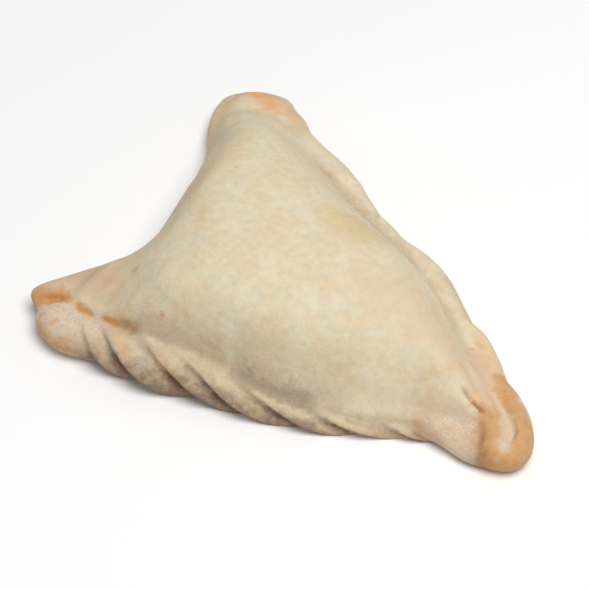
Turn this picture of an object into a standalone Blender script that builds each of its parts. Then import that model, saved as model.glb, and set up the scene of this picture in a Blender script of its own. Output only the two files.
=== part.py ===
"""Baked empanada: one triangular turnover of dough round a filling that doesn't show.

The dough is folded over once, so its left side (-X) is a smooth fold between two corners.
The two open sides, front (-Y) and back (+Y), are closed by a rope crimp of slanted pleats,
and the crimp of the back side curls round the right corner (+X). Units are metres, +Z is
up, and the origin is the middle of the flat underside. Sizes below are in millimetres.
"""
import math

import bmesh
import bpy
import numpy as np
from mathutils import Vector, noise

MM = 0.001
NAME = "empanada"

# Where the modelling frame's origin goes: the middle of the part's footprint.
FOOTPRINT_MIDDLE = (6.25, 3.65)

# The sheet of dough, seen from above: its edge on the folded side, round the corners,
# and the middle of the crimp on the other two sides. Anticlockwise from the left tip.
SHEET_EDGE = (
    (-53.8, -37.9),   # left tip
    (-42.0, -42.0),
    (-22.0, -37.0),   # front crimp
    (0.0, -32.0),
    (24.0, -24.0),
    (44.0, -12.0),
    (60.0, -5.0),
    (67.0, 2.0),      # right corner
    (50.0, 14.0),
    (22.0, 28.0),     # back crimp
    (-10.0, 38.0),
    (-34.0, 47.5),
    (-47.6, 54.9),    # ear
    (-60.2, 46.6),
    (-56.8, 33.8),
    (-50.0, 25.0),
    (-46.2, 17.4),
    (-42.2, 4.8),     # fold
    (-39.5, -10.0),
    (-47.2, -25.0),   # wing
)
SHEET_MIDDLE = (-6.0, 2.0)
SHEET_TOP = 8.0          # top of the dough outside the filling
HEIGHT = 31.0            # top of the filling
# How high the sheet is widest, and over how far its top rounds off: along its sides, at
# the ear and at the left tip. The last two are rounds about a spot.
WIDEST = (7.5, 4.5, 6.0)
TOP_ROUND = (12.0, 5.0, 5.0)
EAR = ((-52.0, 45.0), 14.0)
TIP = ((-52.0, -38.0), 16.0)
UNDER_ROUND = 6.0        # over how far its underside rounds off
WING_SWELL = ((-48.0, -31.0), 15.0, 2.4)   # spot, radius and height of the puffed wing

# The filled part stands up inside these sides, anticlockwise: start and end, how far the
# side bows out, at what share of its length and over what share of it, how far in the
# filling takes to reach its full height, how steeply it starts (0.5 is a quarter of an
# ellipse, 1 a parabola) and how soft its foot is.
FILLING_SIDES = (
    ((-28.6, -36.4), (57.4, -2.9), 6.2, 0.56, 0.24, 29.0, 0.55, 0.6),   # front
    ((20.0, -28.5), (60.0, -5.0), 0.0, 0.5, 0.4, 38.0, 0.95, 1.0),      # front, right end
    ((60.0, -16.0), (62.0, 16.0), 0.0, 0.5, 0.4, 52.0, 1.0, 2.0),       # right corner
    ((58.0, 0.0), (-36.0, 44.0), 9.6, 0.36, 0.32, 42.0, 0.85, 1.2),     # back
    ((-28.0, 50.0), (-62.0, 30.0), 0.0, 0.5, 0.4, 38.0, 1.2, 5.0),      # ear
    ((-54.0, 30.0), (-46.0, -16.0), 2.0, 0.5, 0.4, 42.0, 1.1, 0.8),     # fold
    ((-48.0, -4.0), (-22.0, -42.0), 0.5, 0.5, 0.4, 34.0, 1.1, 4.0),     # wing
)
FILLING_BLEND = 4.5      # how softly the slopes of two sides run together: less is softer
LEAST_SHARE = 0.001

# The front crimp: x, y, z of its middle, half its width and half its height.
FRONT_CRIMP = (
    (-46.4, -41.9, 5.4, 5.6, 5.0),
    (-31.0, -40.0, 5.6, 4.8, 5.4),
    (-17.0, -36.6, 5.6, 4.8, 5.4),
    (-2.0, -32.2, 4.8, 4.3, 4.8),
    (9.0, -29.6, 4.3, 3.6, 4.2),
    (21.0, -25.0, 3.7, 3.0, 3.6),
    (30.0, -20.4, 3.2, 2.7, 3.1),
    (40.0, -13.2, 2.9, 2.4, 2.8),
    (50.0, -8.2, 2.7, 2.2, 2.6),
)
# x at which the gap before each pleat starts, beside the filling, and ends, at the foot
FRONT_GAPS = ((-50.0, -44.0), (-37.8, -28.4), (-28.9, -18.7), (-20.3, -4.7), (-12.3, 7.6),
              (7.1, 23.0), (21.2, 35.9), (32.0, 47.4), (44.0, 60.0))
FRONT_RELIEF = (2.8, 1.3)   # at the left end and at the right end

BACK_CRIMP = (
    (-46.0, 48.6, 4.8, 4.6, 4.2),
    (-37.0, 45.4, 4.6, 4.1, 4.0),
    (-28.0, 43.6, 4.6, 4.4, 4.2),
    (-8.0, 36.5, 4.6, 3.8, 4.2),
    (6.0, 31.0, 4.6, 3.6, 4.2),
    (20.4, 28.6, 4.6, 4.4, 4.2),
    (33.6, 21.8, 4.6, 4.4, 4.4),
    (46.0, 15.3, 4.8, 4.8, 4.6),
    (56.0, 9.0, 5.0, 4.8, 4.8),
    (64.6, 3.4, 5.0, 5.0, 4.8),
    (68.2, -2.2, 5.0, 5.0, 4.8),
    (63.0, -5.8, 4.8, 4.6, 4.6),
)
BACK_GAPS = tuple((x - 8.0, x) for x in (-40.0, -25.0, -9.0, 7.0, 22.0, 38.0, 54.0, 70.0))
BACK_RELIEF = (1.4, 1.0)

# A pleat goes round the roll from beside the filling to the foot of the outer side, in
# degrees about the roll. Across a pleat: the share of it that rises out of the gap (more
# at the foot), how the rest falls, its crest, and how far the crest leans over the gap.
PLEAT_START = 150.0
PLEAT_TURN = 188.0
PLEAT_RUN = 1.2          # it runs on under the roll to this share of its turn
PLEAT_RISE = 0.13
PLEAT_RISE_MORE = 0.22
PLEAT_FALL = 1.7
PLEAT_CREST = 0.12
PLEAT_LEAN = 0.3
PLEAT_MIDDLE = 0.6       # the height of a pleat that lies on the plain roll
PLEAT_INNER_SHARE = 0.3  # how much of its depth a pleat has beside the filling
ROLL_END = 0.7           # how far a roll runs on past its ends, in half widths

# Plain rolls of dough at the corners, in the same five columns as a crimp
INNER_FOLD = (
    (34.0, 13.0, 6.0, 5.0, 6.0),
    (47.0, 9.0, 5.6, 4.2, 5.4),
    (58.0, 4.6, 5.2, 3.4, 4.6),
    (62.0, 1.0, 5.0, 3.0, 3.8),
)
FRONT_LOBE = (
    (45.0, -7.8, 4.2, 3.4, 3.8),
    (52.0, -5.6, 4.6, 5.0, 4.4),
    (60.0, -5.9, 3.8, 5.4, 3.8),
)

# Strokes that the fingers left on the top: how deep (a lip is raised: less than 0), how
# wide, and the line it follows, seen from above.
STROKES = (
    (1.6, 1.5, ((-49.5, -42.5), (-45.5, -38.8), (-42.3, -36.8), (-38.5, -36.3), (-34.4, -36.4))),
    (1.2, 1.4, ((-30.6, -36.4), (-28.2, -34.6), (-25.2, -34.6), (-21.5, -35.3))),
    (1.8, 1.6, ((45.0, 4.4), (51.0, 3.2), (57.0, 1.9))),
    (1.4, 2.0, ((51.0, 12.2), (57.0, 7.4), (62.0, 3.4), (63.6, -0.6))),
    (0.9, 1.5, ((58.6, -0.6), (59.8, -2.8), (61.2, -5.0))),
    (0.8, 2.4, ((-37.0, 42.0), (-17.4, 36.2), (2.5, 31.6), (19.9, 27.7), (34.6, 19.2), (44.0, 13.4))),
    (0.9, 6.0, ((-52.0, 34.6), (-42.0, 38.6))),
    (-1.0, 2.6, ((-57.6, 39.0), (-53.7, 43.2), (-48.1, 45.2), (-42.0, 47.6), (-38.0, 50.0))),
)
UNEVENNESS = 0.35      # height of the slow bumps all over the dough
UNEVENNESS_SPAN = 14.0
FULL_UPWARD = 0.4      # how upright a normal is where a stroke has its full depth
REST_DEPTH = 0.5       # how far the underside is pressed flat by its own weight

SKIN_STEP = 0.9        # size of the skin's faces before it is reduced
TRIANGLES = 9000
NEARLY_FLAT = 0.05     # what is lower than this belongs to the flat underside
MERGE = 0.05
CURVE_STEPS = 24       # steps between two given points of a curve
CURVE_POINTS = 400
STROKE_POINTS = 60
CRUST_COLOUR = (0.72, 0.60, 0.43, 1.0)
CRUST_ROUGHNESS = 0.85


def smooth_curve(points, count, closed):
    """count points on a smooth curve through the given ones (Catmull-Rom, even steps)."""
    points = np.array(points, float)
    spans = len(points) if closed else len(points) - 1
    if closed:
        padded = np.vstack([points[-1], points, points[:2]])
    else:
        padded = np.vstack([2 * points[0] - points[1], points, 2 * points[-1] - points[-2]])
    fine = []
    for span in range(spans):
        p0, p1, p2, p3 = padded[span:span + 4]
        for step in range(CURVE_STEPS):
            t = step / CURVE_STEPS
            fine.append(0.5 * (2 * p1 + (p2 - p0) * t + (2 * p0 - 5 * p1 + 4 * p2 - p3) * t ** 2
                               + (3 * p1 - p0 - 3 * p2 + p3) * t ** 3))
    fine.append(points[0] if closed else points[-1])
    fine = np.array(fine)
    run = np.r_[0, np.cumsum(np.linalg.norm(np.diff(fine[:, :2], axis=0), axis=1))]
    wanted = np.linspace(0, run[-1], count)
    return np.stack([np.interp(wanted, run, column) for column in fine.T], 1), run[-1]


def round_off(share):
    """Height of a quarter circle at a share of its radius from the edge."""
    share = np.clip(share, 0, 1)
    return np.sqrt(1 - (1 - share) ** 2)


def inside_side(x, y, start, end, bow, bow_at, bow_span):
    """Distance inside a side that bows out."""
    length = math.hypot(end[0] - start[0], end[1] - start[1])
    ux, uy = (end[0] - start[0]) / length, (end[1] - start[1]) / length
    along = (x - start[0]) * ux + (y - start[1]) * uy
    inward = -(x - start[0]) * uy + (y - start[1]) * ux
    return inward + bow * np.exp(-((along / length - bow_at) / bow_span) ** 2)


def filling_share(x, y):
    """How full the turnover stands at a place, from 0 at the seam to 1 over the filling."""
    total = np.zeros_like(x)
    for start, end, bow, bow_at, bow_span, reach, start_slope, toe in FILLING_SIDES:
        depth = inside_side(x, y, start, end, bow, bow_at, bow_span)
        depth = 0.5 * (depth + np.sqrt(depth ** 2 + toe ** 2))
        left = 1 - np.clip(depth / reach, LEAST_SHARE, 1)
        total += (1 - left ** 2) ** (-start_slope * FILLING_BLEND)
    return total ** (-1 / FILLING_BLEND)


def near(x, y, spot, radius):
    """1 at a spot, falling smoothly to 0 away from it."""
    return np.exp(-((x - spot[0]) ** 2 + (y - spot[1]) ** 2) / radius ** 2)


def new_object(name, bm, collection):
    """An object of the collection from a working mesh, which is used up."""
    mesh = bpy.data.meshes.new(name)
    bm.to_mesh(mesh)
    bm.free()
    obj = bpy.data.objects.new(name, mesh)
    collection.objects.link(obj)
    return obj


def place_vertices(bm, points):
    """Puts the vertices at points given in millimetres."""
    for vertex, point in zip(bm.verts, points):
        vertex.co = (point[0] * MM, point[1] * MM, point[2] * MM)


def make_filled_sheet(collection):
    """The folded sheet with its filling: a globe drawn out to the sheet's edge."""
    bm = bmesh.new()
    bmesh.ops.create_uvsphere(bm, u_segments=160, v_segments=80, radius=1)
    unit = np.array([v.co[:] for v in bm.verts])
    edge, _ = smooth_curve(SHEET_EDGE, CURVE_POINTS, closed=True)
    offset = edge - SHEET_MIDDLE
    angles = np.unwrap(np.arctan2(offset[:, 1], offset[:, 0]))
    around = np.arctan2(unit[:, 1], unit[:, 0])
    reach = np.interp(around, angles, np.hypot(*offset.T), period=2 * math.pi)
    x = SHEET_MIDDLE[0] + unit[:, 0] * reach
    y = SHEET_MIDDLE[1] + unit[:, 1] * reach
    depth = np.array([np.hypot(edge[:, 0] - px, edge[:, 1] - py).min() for px, py in zip(x, y)])
    ear = near(x, y, *EAR)
    tip = near(x, y, *TIP)
    plain = 1 - np.clip(ear + tip, 0, 1)
    widest = WIDEST[0] * plain + WIDEST[1] * ear + WIDEST[2] * tip
    top_round = TOP_ROUND[0] * plain + TOP_ROUND[1] * ear + TOP_ROUND[2] * tip
    full = filling_share(x, y)
    spot, radius, swell = WING_SWELL
    level = SHEET_TOP + (HEIGHT - SHEET_TOP) * full / full.max() + swell * near(x, y, spot, radius)
    upper = widest + (level - widest) * round_off(depth / top_round)
    lower = widest * (1 - round_off(depth / UNDER_ROUND))
    z = np.where(unit[:, 2] >= 0, upper, lower)
    place_vertices(bm, np.stack([x, y, z], 1))
    return new_object("filled_sheet", bm, collection)


def pleat_profile(phase, turn):
    """Relief across one pleat, 0 to 1, and how near its crest is: a steep rise out of the
    gap and a gentle fall to the next, evening out to a scallop at the foot."""
    part = phase - np.floor(phase)
    rise = PLEAT_RISE + PLEAT_RISE_MORE * np.clip(turn, 0, 1)
    up = 1 - (1 - np.clip(part / rise, 0, 1)) ** 2
    down = 1 - np.clip((part - rise) / (1 - rise), 0, 1) ** PLEAT_FALL
    crest = np.exp(-((part - rise) / PLEAT_CREST) ** 2)
    return np.where(part < rise, up, down), crest


def make_roll(name, stations, gaps, relief, outward, collection):
    """A roll of dough swept along its stations, with slanted pleats wound round it."""
    bm = bmesh.new()
    bmesh.ops.create_uvsphere(bm, u_segments=48, v_segments=200, radius=1)
    unit = np.array([v.co[:] for v in bm.verts])
    line, length = smooth_curve(stations, CURVE_POINTS, closed=False)
    run = np.linspace(0, length, len(line))
    share = np.arccos(np.clip(unit[:, 2], -1, 1)) / math.pi
    around = np.arctan2(unit[:, 1], unit[:, 0])
    first = ROLL_END * stations[0][3]
    last = ROLL_END * stations[-1][3]
    s = -first + share * (length + first + last)
    centre = np.stack([np.interp(s, run, line[:, k]) for k in range(5)], 1)
    step = np.gradient(line[:, :2], axis=0)
    heading = step / np.linalg.norm(step, axis=1)[:, None]
    head = np.stack([np.interp(s, run, heading[:, k]) for k in range(2)], 1)
    head /= np.linalg.norm(head, axis=1)[:, None]
    centre[:, :2] += head * (s - np.clip(s, 0, length))[:, None]
    side = np.stack([head[:, 1], -head[:, 0]], 1) * outward
    to_end = np.minimum((s + first) / (2 * first), (length + last - s) / (2 * last))
    cap = round_off(to_end)
    swell = np.zeros_like(s)
    lean = np.zeros_like(s)
    if gaps:
        # from 0 beside the filling, over the top, to 1 at the foot of the outer side
        start = math.radians(PLEAT_START)
        turn = (start - around) % (2 * math.pi) / math.radians(PLEAT_TURN)
        turn = np.where(around > start, 0, np.minimum(turn, PLEAT_RUN))
        inner, foot = np.array(gaps, float).T
        inner_run = np.interp(inner, line[:, 0], run) + np.minimum(inner - line[0, 0], 0)
        foot_run = np.interp(foot, line[:, 0], run) + np.minimum(foot - line[0, 0], 0)
        order = np.arange(len(gaps))
        phase = np.array([np.interp(at, inner_run + (foot_run - inner_run) * t, order)
                          for at, t in zip(s, turn)])
        share_here = PLEAT_INNER_SHARE + (1 - PLEAT_INNER_SHARE) * np.minimum(turn, 1)
        amount = np.interp(s, (0, length), relief) * share_here * cap
        shape, crest = pleat_profile(phase, turn)
        swell = amount * (shape - PLEAT_MIDDLE)
        lean = -PLEAT_LEAN * amount * crest
    wide = np.cos(around) * (centre[:, 3] * cap + swell)
    high = np.sin(around) * (centre[:, 4] * cap + swell)
    x = centre[:, 0] + side[:, 0] * wide + head[:, 0] * lean
    y = centre[:, 1] + side[:, 1] * wide + head[:, 1] * lean
    place_vertices(bm, np.column_stack([x, y, centre[:, 2] + high]))
    bmesh.ops.recalc_face_normals(bm, faces=bm.faces)
    return new_object(name, bm, collection)


def fused(pieces):
    """The mesh of one closed skin over all the pieces."""
    first, *rest = pieces.objects
    others = bpy.data.collections.new("others")
    bpy.context.scene.collection.children.link(others)
    for piece in rest:
        others.objects.link(piece)
    union = first.modifiers.new("union", "BOOLEAN")
    union.operation = "UNION"
    union.operand_type = "COLLECTION"
    union.collection = others
    union.solver = "EXACT"
    skin = first.modifiers.new("skin", "REMESH")
    skin.mode = "VOXEL"
    skin.voxel_size = SKIN_STEP * MM
    ease = first.modifiers.new("ease", "SMOOTH")
    ease.factor = 0.5
    ease.iterations = 3
    depsgraph = bpy.context.evaluated_depsgraph_get()
    mesh = bpy.data.meshes.new_from_object(first.evaluated_get(depsgraph))
    for piece in list(pieces.objects):
        bpy.data.objects.remove(piece)
    bpy.data.collections.remove(others)
    bpy.data.collections.remove(pieces)
    return mesh


def distance_to(line, x, y):
    """Distance, seen from above, from each point to a line of short steps."""
    nearest = np.full(len(x), np.inf)
    for px, py in line:
        nearest = np.minimum(nearest, np.hypot(x - px, y - py))
    return nearest


def work_surface(bm):
    """Presses the strokes into the top, makes it uneven, and rests the underside flat."""
    bm.normal_update()
    points = np.array([v.co[:] for v in bm.verts]) / MM
    normals = np.array([v.normal[:] for v in bm.verts])
    upward = np.clip(normals[:, 2] / FULL_UPWARD, 0, 1)
    depth = np.zeros(len(points))
    for deep, wide, path in STROKES:
        line, _ = smooth_curve(path, STROKE_POINTS, closed=False)
        depth += deep * np.exp(-(distance_to(line, points[:, 0], points[:, 1]) / wide) ** 2)
    lumps = np.array([noise.noise(Vector(point) / UNEVENNESS_SPAN) for point in points])
    moved = points + normals * ((UNEVENNESS * lumps - depth) * upward)[:, None]
    moved[:, 2] = np.maximum(moved[:, 2] - REST_DEPTH, 0)
    moved[:, :2] -= FOOTPRINT_MIDDLE
    place_vertices(bm, moved)


def thinned(mesh, collection):
    """The finished object: the skin reduced to its triangles, with a flat underside."""
    bm = bmesh.new()
    bm.from_mesh(mesh)
    work_surface(bm)
    bmesh.ops.triangulate(bm, faces=bm.faces)
    share = TRIANGLES / len(bm.faces)
    whole = new_object("whole_skin", bm, collection)
    bpy.data.meshes.remove(mesh)
    thin = whole.modifiers.new("thin", "DECIMATE")
    thin.ratio = share
    depsgraph = bpy.context.evaluated_depsgraph_get()
    bm = bmesh.new()
    bm.from_object(whole, depsgraph)
    bpy.data.objects.remove(whole)
    for vertex in bm.verts:
        if vertex.co.z < NEARLY_FLAT * MM:
            vertex.co.z = 0
    bmesh.ops.remove_doubles(bm, verts=bm.verts, dist=MERGE * MM)
    bmesh.ops.dissolve_degenerate(bm, edges=bm.edges, dist=MERGE * MM)
    bmesh.ops.triangulate(bm, faces=bm.faces)
    bmesh.ops.recalc_face_normals(bm, faces=bm.faces)
    for face in bm.faces:
        face.smooth = True
    return new_object(NAME, bm, collection)


def crust_material():
    """Pale baked dough."""
    crust = bpy.data.materials.new("baked_dough")
    crust.use_nodes = True
    shader = crust.node_tree.nodes["Principled BSDF"]
    shader.inputs["Base Color"].default_value = CRUST_COLOUR
    shader.inputs["Roughness"].default_value = CRUST_ROUGHNESS
    shader.inputs["Metallic"].default_value = 0
    return crust


def main():
    for obj in list(bpy.data.objects):
        bpy.data.objects.remove(obj)
    part = bpy.data.collections.new(NAME)
    pieces = bpy.data.collections.new("pieces")
    bpy.context.scene.collection.children.link(part)
    bpy.context.scene.collection.children.link(pieces)
    make_filled_sheet(pieces)
    make_roll("front_crimp", FRONT_CRIMP, FRONT_GAPS, FRONT_RELIEF, 1, pieces)
    make_roll("back_crimp", BACK_CRIMP, BACK_GAPS, BACK_RELIEF, -1, pieces)
    make_roll("inner_fold", INNER_FOLD, (), (0, 0), 1, pieces)
    make_roll("front_lobe", FRONT_LOBE, (), (0, 0), 1, pieces)
    empanada = thinned(fused(pieces), part)
    empanada.data.materials.append(crust_material())


main()
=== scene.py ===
"""Dressed model of one baked empanada, lying on a plain pale floor.

A sheet of dough is folded over a filling into a triangle. Its left side is a plain fold
between two corners, and the two open sides are closed with a rope crimp of slanted
pleats. It is baked pale, dusted with flour, and browned only at its corners.
The dough's sizes are in millimetres in the maker's frame, and are put into metres as
they are used. The sizes of the floor, the lamp and the camera are in metres.
"""
import math

import bpy
import numpy as np
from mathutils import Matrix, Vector, noise


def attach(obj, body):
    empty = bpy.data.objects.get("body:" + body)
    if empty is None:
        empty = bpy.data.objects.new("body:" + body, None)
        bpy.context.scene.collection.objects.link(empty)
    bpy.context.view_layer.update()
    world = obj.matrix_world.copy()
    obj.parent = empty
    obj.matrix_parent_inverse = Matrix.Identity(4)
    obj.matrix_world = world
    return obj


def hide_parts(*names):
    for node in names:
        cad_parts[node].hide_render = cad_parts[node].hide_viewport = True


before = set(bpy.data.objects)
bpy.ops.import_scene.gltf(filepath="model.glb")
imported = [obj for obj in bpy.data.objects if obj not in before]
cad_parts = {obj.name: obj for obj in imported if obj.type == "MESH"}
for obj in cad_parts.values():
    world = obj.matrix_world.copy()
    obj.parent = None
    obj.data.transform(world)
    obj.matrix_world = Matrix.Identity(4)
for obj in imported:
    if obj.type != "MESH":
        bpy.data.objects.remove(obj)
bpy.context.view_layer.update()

bpy.ops.object.select_all(action="DESELECT")

# ---------------------------------------------------------------------------
# The sheet of dough, folded over its filling. Wheat dough about 3 mm thick, rolled out
# by hand. It starts as a ball that is drawn out to the sheet's edge and pressed into
# the puffed form: flat below, full over the filling, thin at the corners.
MM = 0.001
SHEET_EDGE = (
    (-53.9, -37.6),   # left tip
    (-50.4, -41.2),
    (-43.0, -40.8),
    (-22.0, -37.0),   # front crimp
    (0.0, -32.0),
    (24.0, -24.0),
    (44.0, -12.0),
    (60.0, -5.0),
    (67.0, 2.0),      # right corner
    (50.0, 14.0),
    (22.0, 28.0),     # back crimp
    (-10.0, 38.0),
    (-34.0, 47.2),
    (-46.8, 55.0),    # ear
    (-60.2, 46.6),
    (-57.8, 33.6),
    (-50.8, 25.6),
    (-45.2, 17.4),
    (-42.5, 4.8),     # fold
    (-39.9, -6.0),
    (-40.2, -13.2),
    (-47.7, -25.0),   # wing
)
SHEET_MIDDLE = (-6.0, 2.0)
SEAM_TOP, FILLING_TOP = 8.0, 31.0    # heights
WING_RISE = 2.4                      # what the wing adds to them
# places where the sheet has a form of its own, and how far each reaches
EAR = ((-52.0, 45.0), 14.0)
TIP = ((-52.0, -38.0), 16.0)
WING = ((-48.0, -31.0), 15.0)
# height at which the edge stands out furthest, and how far in from the edge the top is
# rounded off: along the sides, at the ear, at the left tip
WIDEST_AT = (7.5, 4.5, 6.0)
TOP_ROUND = (12.0, 5.0, 5.0)
UNDER_ROUND = 6.0
# start and end of each side of the filling, how far it bows out, where and over what
# share of its length, how far in it is full, how steeply it starts, how soft its foot is
FILLING_SIDES = (
    ((-28.6, -36.4), (57.4, -2.9), 6.2, 0.56, 0.24, 29.0, 0.55, 0.6),   # front
    ((20.0, -28.5), (60.0, -5.0), 0.0, 0.5, 0.4, 38.0, 0.95, 1.0),      # front, right end
    ((60.0, -16.0), (62.0, 16.0), 0.0, 0.5, 0.4, 52.0, 1.0, 2.0),       # right corner
    ((58.0, 0.0), (-36.0, 44.0), 9.6, 0.36, 0.32, 42.0, 1.0, 2.2),      # back
    ((-28.0, 50.0), (-62.0, 30.0), 0.0, 0.5, 0.4, 46.0, 1.2, 9.0),      # ear
    ((-54.0, 30.0), (-46.0, -16.0), 2.0, 0.5, 0.4, 42.0, 1.1, 0.8),     # fold
    ((-48.0, -4.0), (-22.0, -42.0), 0.5, 0.5, 0.4, 38.0, 1.1, 8.0),     # wing
)
FILLING_BLEND = 4.5      # the more, the sharper the ridges between the sides
THINNEST = 0.001         # least share of a side's rise, so that its power has an end
CURVE_STEPS = 24         # between two given points of a curve
EDGE_STEPS = 500


def smooth_curve(points, count, closed=False):
    """count points on a smooth curve through the given ones, and the curve's length."""
    points = np.array(points, float)
    if closed:
        padded = np.vstack([points[-1], points, points[:2]])
    else:
        padded = np.vstack([2 * points[0] - points[1], points, 2 * points[-1] - points[-2]])
    t = np.arange(CURVE_STEPS)[:, None] / CURVE_STEPS
    fine = []
    for p0, p1, p2, p3 in zip(padded, padded[1:], padded[2:], padded[3:]):
        fine.extend(0.5 * (2 * p1 + (p2 - p0) * t + (2 * p0 - 5 * p1 + 4 * p2 - p3) * t ** 2
                           + (3 * p1 - p0 - 3 * p2 + p3) * t ** 3))
    fine.append(points[0] if closed else points[-1])
    fine = np.array(fine)
    run = np.r_[0, np.cumsum(np.linalg.norm(np.diff(fine[:, :2], axis=0), axis=1))]
    wanted = np.linspace(0, run[-1], count)
    return np.stack([np.interp(wanted, run, column) for column in fine.T], 1), run[-1]


def round_off(share):
    """Height of a quarter circle at a share of its radius from the edge."""
    return np.sqrt(1 - (1 - np.clip(share, 0, 1)) ** 2)


def near(points, spot, radius):
    """1 at a spot seen from above, falling smoothly to 0 away from it."""
    return np.exp(-((points[:, 0] - spot[0]) ** 2 + (points[:, 1] - spot[1]) ** 2) / radius ** 2)


def filling_share(x, y):
    """How full the turnover stands, from 0 at the seam to 1 over the filling."""
    total = np.zeros_like(x)
    for start, end, bow, bow_at, bow_span, reach, start_slope, toe in FILLING_SIDES:
        length = math.hypot(end[0] - start[0], end[1] - start[1])
        ux, uy = (end[0] - start[0]) / length, (end[1] - start[1]) / length
        along = ((x - start[0]) * ux + (y - start[1]) * uy) / length
        inward = -(x - start[0]) * uy + (y - start[1]) * ux
        inward = inward + bow * np.exp(-((along - bow_at) / bow_span) ** 2)
        inward = 0.5 * (inward + np.sqrt(inward ** 2 + toe ** 2))
        left = 1 - np.clip(inward / reach, THINNEST, 1)
        total += (1 - left ** 2) ** (-start_slope * FILLING_BLEND)
    return total ** (-1 / FILLING_BLEND)


def read_points(obj):
    """The vertices of a mesh, in millimetres."""
    flat = np.empty(len(obj.data.vertices) * 3)
    obj.data.vertices.foreach_get("co", flat)
    return flat.reshape(-1, 3) / MM


def put_points(obj, points):
    """Moves the vertices of a mesh to points in millimetres."""
    obj.data.vertices.foreach_set("co", (points * MM).ravel())
    obj.data.update()


bpy.ops.mesh.primitive_uv_sphere_add(segments=300, ring_count=160, radius=MM)
dough = bpy.context.object
dough.name = "sheet"
# the ball is drawn out sideways to the edge, and then both its halves are given their height
ball = read_points(dough)
edge_line, _ = smooth_curve(SHEET_EDGE, EDGE_STEPS, closed=True)
offset = edge_line - SHEET_MIDDLE
reach = np.interp(np.arctan2(ball[:, 1], ball[:, 0]), np.unwrap(np.arctan2(offset[:, 1], offset[:, 0])),
                  np.hypot(*offset.T), period=2 * math.pi)
x = SHEET_MIDDLE[0] + ball[:, 0] * reach
y = SHEET_MIDDLE[1] + ball[:, 1] * reach
from_edge = np.array([np.hypot(edge_line[:, 0] - px, edge_line[:, 1] - py).min() for px, py in zip(x, y)])
plan = np.stack([x, y], 1)
ear = near(plan, *EAR)
tip = near(plan, *TIP)
plain = 1 - np.clip(ear + tip, 0, 1)


def over_the_sheet(along_sides, at_ear, at_tip):
    """A size that changes over the sheet, from its sides to the ear and the left tip."""
    return along_sides * plain + at_ear * ear + at_tip * tip


widest = over_the_sheet(*WIDEST_AT)
full = filling_share(x, y)
level = SEAM_TOP + (FILLING_TOP - SEAM_TOP) * full / full.max() + WING_RISE * near(plan, *WING)
upper = widest + (level - widest) * round_off(from_edge / over_the_sheet(*TOP_ROUND))
lower = widest * (1 - round_off(from_edge / UNDER_ROUND))
put_points(dough, np.stack([x, y, np.where(ball[:, 2] >= 0, upper, lower)], 1))

# ---------------------------------------------------------------------------
# The rope crimp. The sheet's edges are pressed together and folded over in slanted
# pleats, each over the one on its left, thick at the left corner and thin at the right.
# The far side's is softer, and ends by curling round the right corner.
FRONT_CRIMP = (           # x, y, z of the roll's middle, half its width, half its height
    (-45.0, -41.7, 5.2, 5.1, 4.9),
    (-38.0, -41.5, 5.4, 5.5, 5.2),
    (-31.0, -40.0, 5.6, 4.9, 5.4),
    (-16.0, -36.6, 5.6, 5.2, 5.4),
    (-2.0, -31.9, 4.8, 4.1, 4.8),
    (9.0, -29.3, 4.3, 3.3, 4.2),
    (21.0, -24.7, 3.7, 2.8, 3.6),
    (30.0, -20.3, 3.2, 2.5, 3.1),
    (40.0, -13.5, 2.9, 2.5, 2.8),
    (50.0, -8.2, 2.7, 2.2, 2.6),
)
# x at which the gap before each pleat starts, on top of the roll, and ends, at its foot
FRONT_GAPS = ((-50.0, -44.0), (-38.0, -27.4), (-35.0, -15.8), (-24.6, 0.6), (-15.4, 10.5),
              (-1.6, 25.0), (16.0, 35.4), (29.5, 48.4), (41.5, 60.5))
# how deep each gap is, down from the crest of its pleat
FRONT_DEPTHS = (0.4, 1.3, 4.0, 4.5, 4.6, 3.8, 3.1, 1.8, 1.6)
BACK_CRIMP = (
    (-46.0, 48.6, 4.5, 4.6, 4.0),
    (-41.0, 48.2, 4.5, 4.8, 4.0),
    (-36.0, 45.6, 4.5, 4.7, 4.0),
    (-28.0, 43.1, 4.6, 4.6, 4.2),
    (-18.5, 41.4, 4.6, 4.2, 4.2),
    (-8.0, 36.6, 4.6, 3.8, 4.2),
    (6.0, 31.5, 4.6, 3.7, 4.2),
    (18.0, 29.4, 4.6, 4.7, 4.2),
    (33.6, 21.7, 4.6, 4.6, 4.4),
    (46.0, 15.3, 4.8, 4.8, 4.6),
    (56.0, 9.0, 5.0, 4.8, 4.8),
    (64.6, 3.4, 5.0, 5.0, 4.8),
    (68.2, -2.2, 5.0, 5.0, 4.8),
    (63.0, -5.8, 4.8, 4.6, 4.6),
)
BACK_SLANT = 8.0
BACK_GAPS = tuple((at - BACK_SLANT, at) for at in (-54.0, -30.0, -15.0, 2.0, 20.0, 41.0, 57.0, 73.0))
BACK_DEPTHS = (0.5, 0.25, 0.4, 0.9, 0.4, 1.1, 1.1, 0.6)
# A gap winds round its roll: its turn is 0 on top and 1 at the foot, and it is followed
# a little past the foot. Its depth changes with the turn. At a roll's ends it starts with
# a share of that depth and has all of it some way in.
GAP_START, GAP_SPAN = math.radians(150), math.radians(188)
LAST_TURN = 1.2
DEPTH_BY_TURN = ((0, 0.3, 0.5, 0.75, 1.0, 1.2), (0.1, 0.3, 0.65, 1.0, 0.8, 0.5))
END_FADE, END_SHARE = 5, 0.2
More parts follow.
